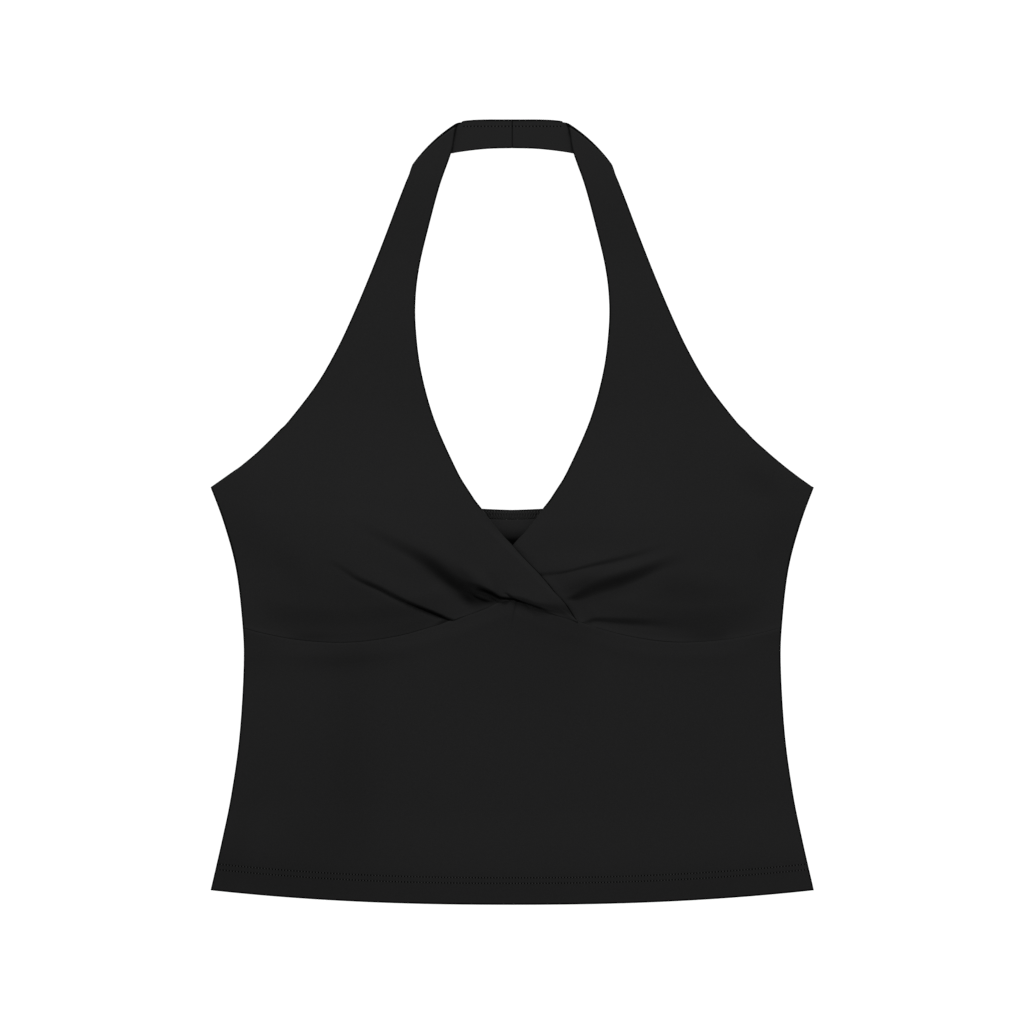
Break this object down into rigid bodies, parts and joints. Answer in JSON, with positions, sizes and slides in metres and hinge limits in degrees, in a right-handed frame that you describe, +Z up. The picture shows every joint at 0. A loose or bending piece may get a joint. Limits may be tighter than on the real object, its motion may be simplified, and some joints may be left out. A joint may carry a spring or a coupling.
{
  "type": "halter neck top",
  "caption": "Cropped halter neck top with a crossed, gathered bust, laid flat: joined neck straps, plain midriff, hem turned up and an elastic band in the low back.",
  "frame": {"origin": "on the surface that the top lies on, under the middle of its length and width", "axes": "+Z up off the surface, out of the front of the garment; +Y from the hem to the neck; +X to the wearer's left"},
  "size_m": [0.401, 0.5233, 0.0099],
  "materials": {
    "knit": "matt black double knit",
    "elastic": "soft black elastic under looper threads"
  },
  "bodies": {
    "root": {"back_panel": "knit", "midriff_front": "knit", "left_front": "knit", "right_front": "knit", "back_elastic_band": "elastic"}
  },
  "joints": []
}
